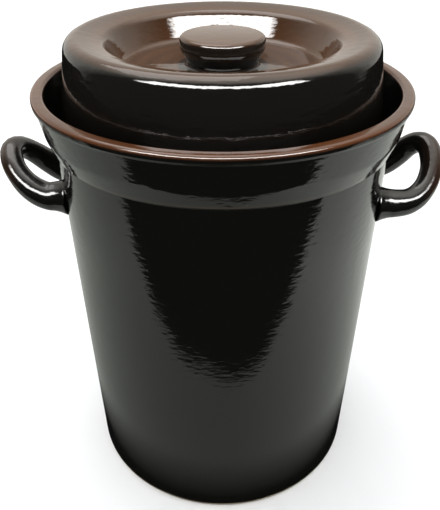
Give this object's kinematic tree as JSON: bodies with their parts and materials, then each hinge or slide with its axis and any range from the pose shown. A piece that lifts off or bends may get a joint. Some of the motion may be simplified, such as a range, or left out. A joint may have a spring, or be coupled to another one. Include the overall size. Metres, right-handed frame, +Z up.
{
  "type": "sauerkraut crock",
  "caption": "Shut stoneware fermenting crock in glossy dark brown glaze, with a water channel round its mouth, a dished lid with a knob, and curled strap handles.",
  "frame": {"origin": "centre of the foot, on the ground the crock stands on", "axes": "+Z up along the axis the pot was thrown on, X through the two handles"},
  "size_m": [0.368, 0.2899, 0.398],
  "materials": {
    "pot_glaze": "glossy, near-black brown, thinning to red-brown on the rim",
    "lid_glaze": "glossy brown with faint throwing rings"
  },
  "bodies": {
    "root": {"crock": "pot_glaze", "lid": "lid_glaze"}
  },
  "joints": []
}
